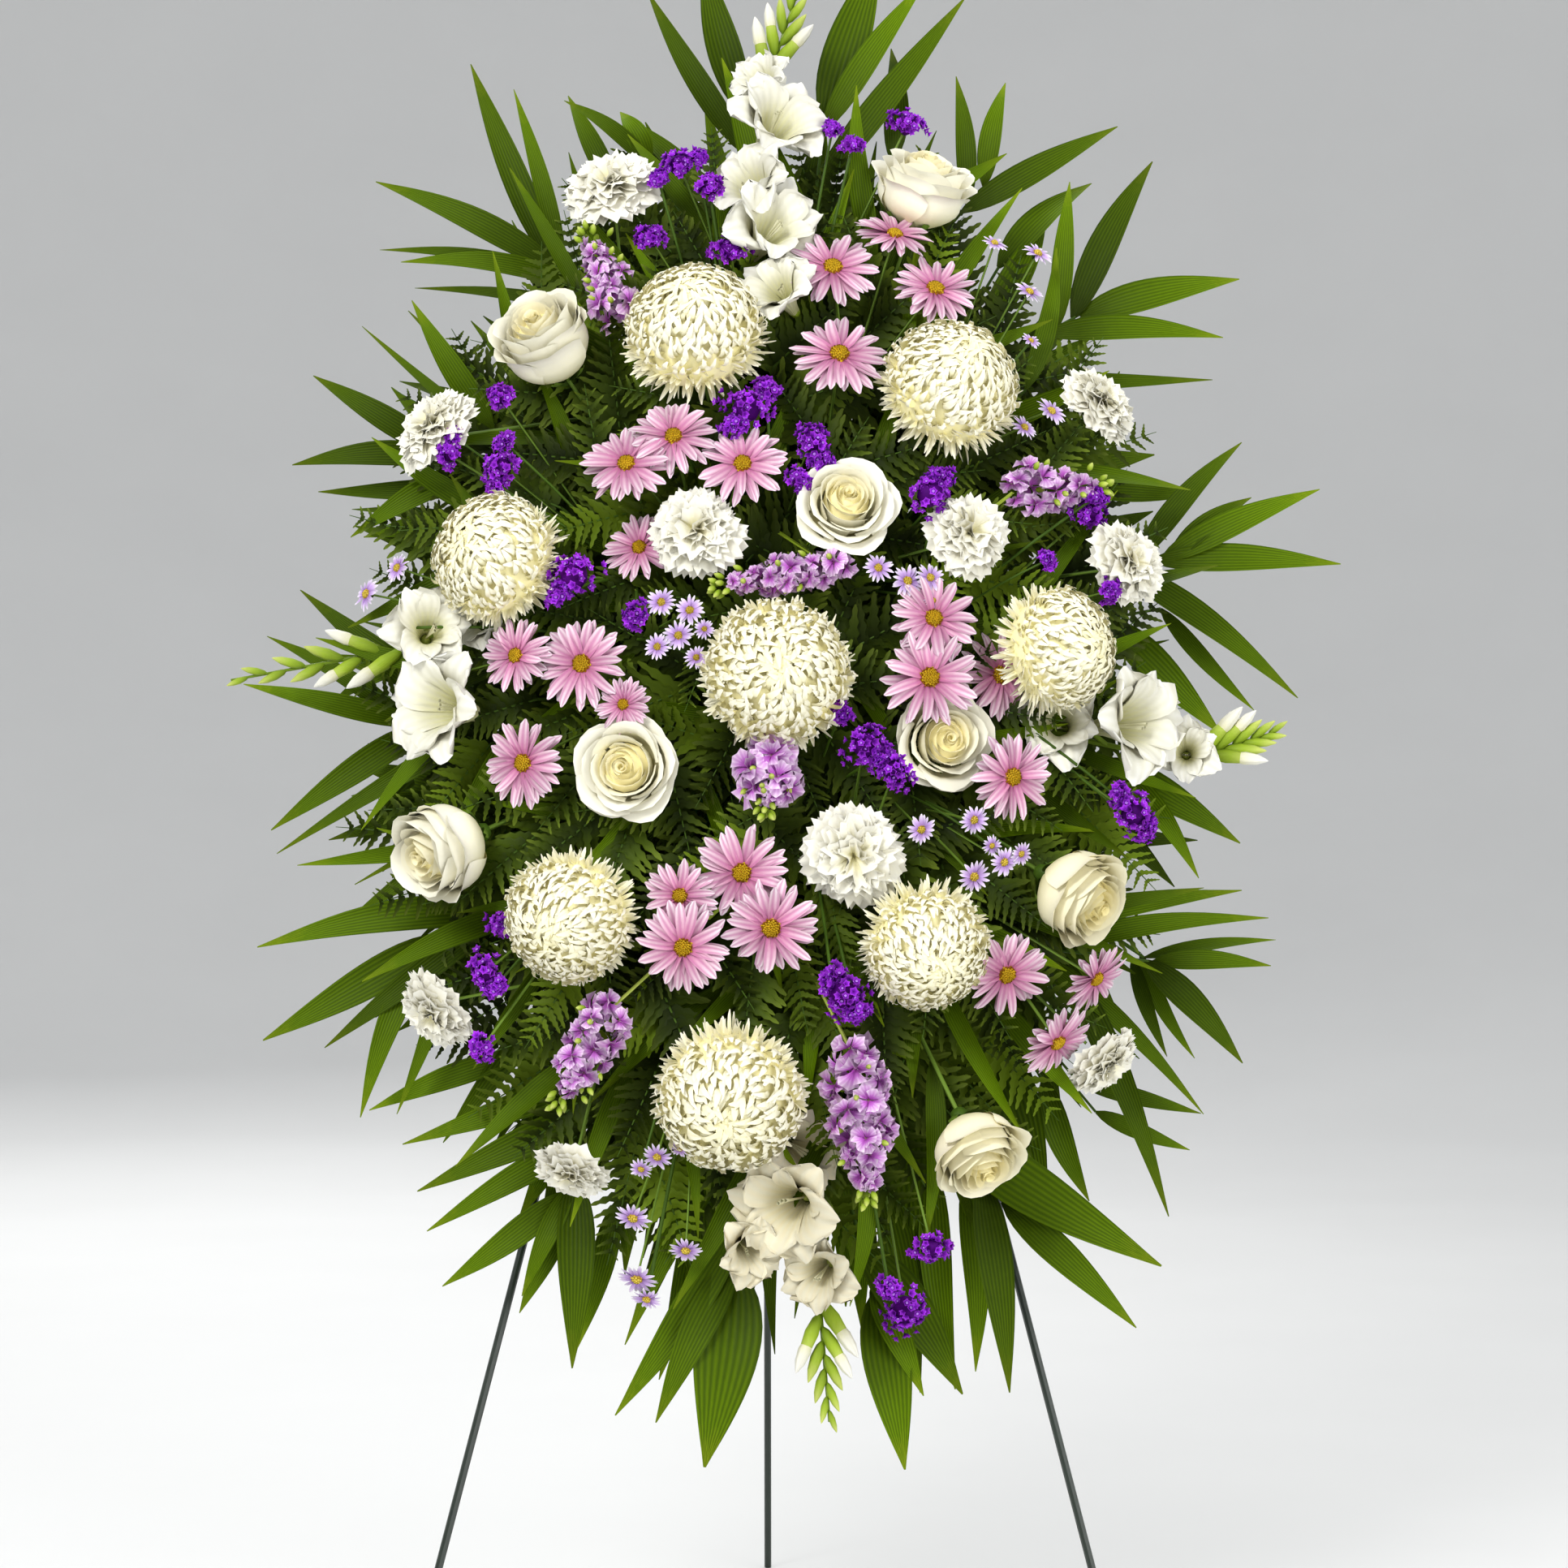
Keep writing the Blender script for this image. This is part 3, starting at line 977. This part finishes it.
def grow_heads(kind, node, specs, bloom, materials):
    """The fine piece for a node of heads, with the small heads that hang on its stems."""
    points, faces = cad_mesh(node)
    tree = tree_of(points, faces)
    piece = Piece(node + "_bloom")
    heads = [settled(tree, kind, spec) for spec in specs]
    keep_stems(piece, points, faces, [(middle, radius * 1.12, look) for middle, radius, look in heads])
    heads += [settled(None, kind, spec) for spec in SMALL_HEADS.get(node, ())]
    stems = points[np.linalg.norm(points - np.array(FOAM_MIDDLE), axis=1) < STEM_REACH]
    for number, (middle, radius, look) in enumerate(heads):
        matrix = placement(look, middle, piece.chance.uniform(0, ANY_TURN), radius)
        if kind == "statice":
            bloom(piece, matrix, radius)
        else:
            bloom(piece, matrix)
        if number >= len(specs):
            start = Vector(stems[number % len(stems)])
            path = curved_path(start, middle - look * radius * 0.4, TO_VIEWER * LOOSE_BOW, 6)
            piece.stem(path, min(0.0022, radius * 0.12))
    piece.make(materials, "stand", node)


def grow_stock():
    for where, spikes in STOCK.items():
        node = "stock_" + where
        points, faces = cad_mesh(node)
        piece = Piece(node + "_bloom")
        rods = []
        for foot_x, foot_y, tip_x, tip_y, pixel_radius in spikes:
            foot, distance = point_on_dome(foot_x, foot_y, -0.012)
            tip, _ = point_on_dome(tip_x, tip_y)
            radius = pixel_radius * distance / PHOTO_FOCAL
            stock_spike(piece, foot, tip, radius)
            rods.append((foot, tip, radius * 1.25))
        keep_stems(piece, points, faces, (), rods)
        piece.make(("stock_petal", "green_bud"), "stand", node)


GLADIOLUS_TIP_HEIGHT = 0.085
GLADIOLUS_NECK = 0.030
GLADIOLUS_FLARE = 1.28
GLADIOLUS_CREAM = {"bottom": 0.75}
GLADIOLUS_BUDS = 9
GLADIOLUS_STEM = (0.0026, 0.0023, 0.0018, 0.0010)
GLADIOLUS_THROAT = (0.0020, 0.0022, 0.0026)


def share_along(point, start, line):
    """How far along a line a point lies, from 0 to 1."""
    return min(1.0, max(0.0, (point - start).dot(line) / max(line.length_squared, 1e-9)))


def grow_gladioli():
    """Spikes: open blooms on necks from a stem that runs behind them, and green buds up to its tip."""
    for where, (tip_pixel, blooms) in GLADIOLI.items():
        node = "gladiolus_" + where
        tree = tree_of(*cad_mesh(node))
        piece = Piece(node + "_bloom")
        heads = []
        for number, spec in enumerate(blooms):
            middle, radius, look = settled(tree, "gladiolus", spec)
            yaw = math.radians(24) * (1 if number % 2 else -1)
            look = Quaternion((0, 0, 1), yaw) @ look.lerp(TO_VIEWER, 0.62).normalized()
            heads.append((middle, radius * GLADIOLUS_FLARE, look))
        for middle, radius, look in heads:
            matrix = placement(look, middle, piece.chance.uniform(0, ANY_TURN), radius)
            gladiolus_flower(piece, matrix, GLADIOLUS_CREAM.get(where, 0.0))
        ends = sorted((middle for middle, _, _ in heads), key=lambda end: (end - FOAM_MIDDLE).length)
        first, last = ends[0], ends[-1]
        back = GLADIOLUS_NECK
        for middle, radius, _ in heads:
            beside = first + (last - first) * share_along(middle, first, last - first)
            back = max(back, middle.y + radius * 1.15 - beside.y)
        low, high = first + Vector((0, back, 0)), last + Vector((0, back, 0))
        tip, _ = point_at(*tip_pixel, GLADIOLUS_TIP_HEIGHT)
        piece.stem((FOAM_MIDDLE.lerp(low, 0.2), low, high, tip), GLADIOLUS_STEM, 8)
        for middle, radius, look in heads:
            root = low + (high - low) * share_along(middle, low, high - low)
            base = middle - look * radius * 1.25
            piece.stem((root, base, middle - look * radius * 0.98), GLADIOLUS_THROAT)
            add_bud(piece, 1, look, base, radius * 0.44, radius * 0.15)
        way = (tip - high).normalized()
        side = way.cross(TO_VIEWER).normalized()
        for number in range(GLADIOLUS_BUDS):
            share = (number + 0.5) / GLADIOLUS_BUDS
            foot = high.lerp(tip, 0.10 + 0.86 * share)
            hand = 1 if number % 2 else -1
            look = (way + side * hand * (0.55 - 0.3 * share) + TO_VIEWER * 0.25).normalized()
            size = 1 - 0.62 * share
            add_bud(piece, 1, look, foot, 0.044 * size, 0.0062 * size)
            if share < 0.35:
                add_bud(piece, 0, look, foot + look * 0.020 * size, 0.034 * size, 0.0058 * size)
        piece.make(("gladiolus_petal", "green_bud"), "stand", node)


# Foliage


def leaf_normal(way, roll=None):
    """The normal of a leaf that runs that way and faces the viewer, or is rolled from that."""
    normal = (TO_VIEWER - way * TO_VIEWER.dot(way)).normalized()
    return normal if roll is None else (Quaternion(way, roll) @ normal).normalized()


def add_blade(piece, root, tip, width, normal, bow):
    """A pleated lance-shaped leaflet."""
    u, v, faces = sheet(6, 14)
    along = tip - root
    side = along.cross(normal).normalized()
    wide = width * np.maximum(0.035, np.sin(math.pi * v**0.72) ** 0.85 * (1 - 0.25 * v))
    wide = np.where(v < 0.02, width * 0.14, wide)
    bend = bow * np.sin(math.pi * v)
    pleat = wide * (0.10 * np.abs(u) + 0.02 * np.cos(u * 12))
    sway = piece.random.uniform(-0.035, 0.035) * along.length * np.sin(math.pi * v)
    points = np.array(root) + np.outer(v, along) + np.outer(u * wide / 2 + sway, side) + np.outer(bend + pleat, normal)
    piece.add(points, faces, 0, None, shades(u, v, piece.random.rand())[0])


RIB_STEPS = 24
PALM_STALK = (0.0026, 0.0025)
PALM_RIB = (0.0022, 0.0019, 0.0011)
LEAFLET_STEP = 0.005
LEAFLET_TRIES = range(-4, 8)


def grow_palms():
    """Palm fronds: each leaflet from the nearest free point of its rib to its packed leaflet's tip."""
    for where, fronds in FRONDS.items():
        node = "palm_" + where
        points, _ = cad_mesh(node)
        piece = Piece(node + "_leaves")
        inner_ends = [point_at(frond[0], frond[1], frond[4])[0] for frond in fronds]
        middle = sum(inner_ends, Vector()) / len(inner_ends)
        fork = FOAM_MIDDLE.lerp(middle, 0.30)
        piece.stem((FOAM_MIDDLE.lerp(middle, 0.1), fork), PALM_STALK)
        for inner_x, inner_y, outer_x, outer_y, height, leaflets in fronds:
            inner, _ = point_at(inner_x, inner_y, height)
            outer, _ = point_at(outer_x, outer_y, height)
            piece.stem((fork, inner, outer), PALM_RIB)
            steps = [step / RIB_STEPS for step in range(1, RIB_STEPS + 1)]
            rib = [fork.lerp(inner, step) for step in steps] + [inner.lerp(outer, step) for step in steps]
            for root_x, root_y, tip_x, tip_y, pixel_width in leaflets:
                seen_root, distance = point_at(root_x, root_y, height)
                level_tip, _ = point_at(tip_x, tip_y, height)
                along = (seen_root - level_tip).normalized()

                def off_line(point):
                    gap = point - level_tip
                    return (gap - along * gap.dot(along)).length + 0.2 * (point - seen_root).length

                root = min(rib, key=off_line)
                rib.remove(root)
                tips = [point_at(tip_x, tip_y, height + step * LEAFLET_STEP)[0] for step in LEAFLET_TRIES]
                tip = min(tips, key=lambda end: np.linalg.norm(points - np.array(end), axis=1).min())
                normal = leaf_normal((tip - root).normalized())
                add_blade(piece, root, tip, pixel_width * distance / PHOTO_FOCAL, normal, 0.012)
        piece.make(("palm_leaf", "stem"), "stand", node)


FERN_PAIRS = 11
FERN_BREADTH = 0.36
FERN_ARCH = -0.10
YOUNG_SHARE = 0.17
FERN_STALK_BOW = 0.008
FERN_RIB = (0.0011, 0.0010, 0.0009, 0.0007, 0.0006, 0.0003)


def add_fern(piece, root, way, normal, length):
    """A fern frond: pairs of saw-edged pinnae along an arching rib."""
    rnd = piece.random
    count = 2 * FERN_PAIRS
    each = (count, 1)
    number = np.arange(count)[:, None]
    share = 0.06 + 0.92 * (number // 2) / FERN_PAIRS
    hand = np.where(number % 2, 1.0, -1.0)
    u, v, faces = sheet(2, 8)
    reach = length * FERN_BREADTH * (1 - share) ** 0.7 * rnd.uniform(0.85, 1.12, each) + 0.003
    lean = np.radians(rnd.uniform(50, 66, each))
    teeth = np.where(np.round(v * 8) % 2, 1.0, 0.60)
    wide = np.minimum(reach * 0.36, 0.0125) * teeth * (1 - 0.80 * v**1.5)
    along = length * share + reach * v * np.cos(lean) - hand * u * wide / 2 * np.sin(lean)
    across = hand * (reach * v * np.sin(lean)) + u * wide / 2 * np.cos(lean)
    lift = FERN_ARCH * length * share**2 - 0.16 * reach * v**2
    lift = lift + rnd.uniform(-0.12, 0.12, each) * reach * v + np.abs(u) * wide * 0.15
    matrix = Matrix((way.cross(normal).normalized(), way, normal)).transposed().to_4x4()
    matrix.translation = root
    own = rnd.rand()
    young = 0.6 if piece.chance.random() < YOUNG_SHARE else 0.0
    own = np.clip(own + rnd.uniform(-0.15, 0.15, count), 0, 1)
    piece.add(stacked(across, along, lift), faces, 0, matrix, shades(u, v * 0.9, own, young))
    rib = [Vector((0, length * step / 5, FERN_ARCH * length * (step / 5) ** 2)) for step in range(6)]
    piece.stem(rib, FERN_RIB, 4, matrix)


def place_in_spray(away, turn, depth):
    """A point at a share of the spray's oval and of the dome's height over it, and the way outwards there."""
    point = Vector((
        away * DOME_HALF_WIDTH * math.cos(turn), 0, MIDDLE_UP + away * DOME_HALF_HEIGHT * math.sin(turn),
    ))
    point.y = -dome_height(point) * depth
    outward = Vector((point.x, 0, (point.z - MIDDLE_UP) * 0.7))
    return point, outward.normalized() if outward.length > 1e-6 else Vector((0, 0, 1))


FERN_LAYERS = (
    # Name, fronds, share of the dome's height, share of its oval, length
    ("inner", 120, 0.82, 0.72, 0.100),
    ("middle", 140, 0.62, 0.84, 0.115),
    ("low", 120, 0.40, 0.86, 0.125),
    ("outer", 90, 0.22, 0.84, 0.125),
)


def fern_fill():
    """Fern that fills the spray: fronds at four depths, each on a stalk out of the foam."""
    for name, count, depth, breadth, length in FERN_LAYERS:
        piece = Piece("fern_" + name)
        chance = piece.chance.uniform
        for number in range(count):
            away = math.sqrt((number + 0.5) / count) * breadth
            root, outward = place_in_spray(away, number * GOLDEN, depth)
            outward = Quaternion(TO_VIEWER, chance(-1.2, 1.2) * (1 - 0.6 * away)) @ outward
            way = (outward + TO_VIEWER * chance(0.0, 0.40)).normalized()
            normal = leaf_normal(way, chance(-0.5, 0.5))
            size = length * chance(0.8, 1.1) * (1 - 0.25 * away**4)
            base = root - way * size * 0.55
            add_fern(piece, base, way, normal, size)
            piece.stalk(root, base, FERN_STALK_BOW, 4)
        piece.make(("fern_leaf", "stem"), "stand", "fern" if name == "inner" else None)


def add_rooted_blade(piece, root, tip, width, normal, bow):
    """A blade on a stalk of its own out of the foam."""
    add_blade(piece, root, tip, width, normal, bow)
    piece.stalk(root, root)


def add_named_blades(piece, table):
    for root_x, root_y, tip_x, tip_y, pixel_width, height in table:
        root, distance = point_at(root_x, root_y, height)
        tip, _ = point_at(tip_x, tip_y, height * 0.5)
        normal = leaf_normal((tip - root).normalized(), piece.chance.uniform(-0.35, 0.35))
        add_rooted_blade(piece, root, tip, pixel_width * distance / PHOTO_FOCAL, normal, 0.008)


FILLER_BLADES = 92


def palm_filler():
    """Palm blades that lie among the ferns, between the heads, and those beside the palm nodes."""
    low = Piece("palm_low")
    add_named_blades(low, LOW_BLADES)
    low.make(("palm_leaf", "stem"), "stand", None)
    piece = Piece("palm_filler")
    add_named_blades(piece, MORE_BLADES)
    chance = piece.chance.uniform
    for number in range(FILLER_BLADES):
        away = 0.14 + 0.74 * math.sqrt((number + 0.5) / FILLER_BLADES)
        middle, outward = place_in_spray(away, number * GOLDEN + 1.1, 0.74)
        outward = Quaternion(TO_VIEWER, chance(-0.7, 0.7)) @ outward
        way = (outward + TO_VIEWER * chance(-0.10, 0.18)).normalized()
        normal = leaf_normal(way, chance(-0.6, 0.6))
        length = chance(0.095, 0.150)
        root = middle - way * length * 0.5
        add_rooted_blade(piece, root, root + way * length, chance(0.014, 0.022), normal, 0.006)
    piece.make(("palm_leaf", "stem"), "stand", None)


COLLAR_RINGS = (
    # Leaves, share of the oval at the root, reach, and share of the dome's height
    (34, 0.30, 0.42, 0.30),
    (46, 0.50, 0.42, 0.24),
    (54, 0.66, 0.36, 0.14),
)
COLLAR_EDGE = 1.02


def leaf_collar():
    """Broad leaves behind the ferns, which fill between the palm fronds out to the spray's edge."""
    piece = Piece("palm_collar")
    chance = piece.chance.uniform
    for ring, (count, away, reach, depth) in enumerate(COLLAR_RINGS):
        for number in range(count):
            turn = (number + 0.5 * ring) / count * 2 * math.pi + chance(-0.05, 0.05)
            root, _ = place_in_spray(away * chance(0.9, 1.1), turn, depth)
            swing = chance(-0.16, 0.16)
            far = away + reach * chance(0.8, 1.08)
            tip, _ = place_in_spray(min(far, COLLAR_EDGE), turn + swing, depth * 0.8)
            tip.y = min(tip.y, -0.012) + chance(-0.012, 0.004)
            normal = leaf_normal((tip - root).normalized(), chance(-0.5, 0.5))
            add_rooted_blade(piece, root, tip, chance(0.018, 0.030), normal, 0.008)
    piece.make(("collar_leaf", "stem"), "stand", None)


PLANTS = (
    ("mum", {number: (spec,) for number, spec in enumerate(MUMS, 1)}, mum_bloom, ("mum_petal", "stem")),
    ("rose", {number: (spec,) for number, spec in enumerate(ROSES, 1)}, rose_bloom, ("rose_petal", "stem")),
    ("carnation", CARNATIONS, carnation_bloom, ("carnation_petal", "stem")),
    ("daisy", DAISIES, daisy_bloom, ("daisy_petal", "stem", "ochre_disc")),
    ("aster", ASTERS, aster_bloom, ("aster_petal", "stem", "yellow_disc")),
    ("statice", STATICE, statice_florets, ("statice_calyx", "stem", "statice_corolla")),
)
for kind, nodes, bloom, materials in PLANTS:
    for where, specs in nodes.items():
        grow_heads(kind, f"{kind}_{where}", specs, bloom, materials)
grow_stock()
grow_gladioli()
grow_palms()
fern_fill()
palm_filler()
leaf_collar()

# Easel, tray and foam keep their solids.
WIRES = ("easel_leg_left", "easel_leg_right", "easel_crossbar_top", "easel_crossbar_lower", "easel_back_leg")
for node, name in (*((wire, "easel_wire") for wire in WIRES), ("foam_tray", "tray"), ("foam_block", "foam")):
    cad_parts[node].data.materials.clear()
    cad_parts[node].data.materials.append(MATERIALS[name])


# Studio

FLAT_RADIUS = 3.4
SWEEP = 5.0
SWEEP_STEPS = 12
WALL_HEIGHT = 6.0
BACKDROP_SIDES = 96
FLOOR_DROP = 0.0005
SKY = (0.95, 0.97, 1.0, 1)
SKY_STRENGTH = 0.63
LIGHTS = (
    # Name, place, what it is aimed at, size and power
    ("key", (-1.5, -3.0, 2.6), (0, 0, 0.75), 1.3, 92),
    ("fill", (2.3, -2.8, 1.2), (0, 0, 0.75), 2.0, 50),
    ("top", (0.3, 0.9, 3.4), (0, -0.1, 0.8), 1.6, 40),
    ("back", (-1.2, 3.4, 2.2), (0, 0, 0.7), 2.2, 45),
)


def backdrop():
    """A pale round floor that sweeps up into a wall on every side."""
    rings = [(1.2, 0.0), (2.4, 0.0), (FLAT_RADIUS, 0.0)]
    for step in range(1, SWEEP_STEPS + 1):
        angle = step / SWEEP_STEPS * math.pi / 2
        rings.append((FLAT_RADIUS + SWEEP * math.sin(angle), SWEEP * (1 - math.cos(angle))))
    rings.append((FLAT_RADIUS + SWEEP, WALL_HEIGHT))
    points, faces = lathe([(radius, height - FLOOR_DROP) for radius, height in rings], BACKDROP_SIDES)
    points = [(0, 0, -FLOOR_DROP), *points.tolist()]
    middle = [(0, 1 + side, 1 + (side + 1) % BACKDROP_SIDES) for side in range(BACKDROP_SIDES)]
    mesh = bpy.data.meshes.new("backdrop")
    mesh.from_pydata(points, [], middle + (faces[:, [0, 3, 2, 1]] + 1).tolist())
    for face in mesh.polygons:
        face.use_smooth = True
    obj = linked("backdrop", mesh)
    obj.data.materials.append(MATERIALS["backdrop_paper"])


backdrop()
for name, place, aim, size, power in LIGHTS:
    lamp = bpy.data.lights.new(name, "AREA")
    lamp.energy = power
    lamp.size = size
    obj = linked(name, lamp)
    obj.location = place
    obj.rotation_euler = (Vector(aim) - Vector(place)).to_track_quat("-Z", "Y").to_euler()
world = bpy.data.worlds.new("studio")
world.use_nodes = True
world.node_tree.nodes["Background"].inputs["Color"].default_value = SKY
world.node_tree.nodes["Background"].inputs["Strength"].default_value = SKY_STRENGTH
bpy.context.scene.world = world
bpy.context.scene.view_settings.view_transform = "Standard"

camera = bpy.data.cameras.new("camera")
camera.sensor_width = SENSOR
camera.lens = SENSOR * PHOTO_FOCAL / PHOTO_SIDE
camera_object = linked("camera", camera)
camera_object.location = LENS + SHIFT
camera_object.rotation_euler = (math.pi / 2, 0, 0)
bpy.context.scene.camera = camera_object
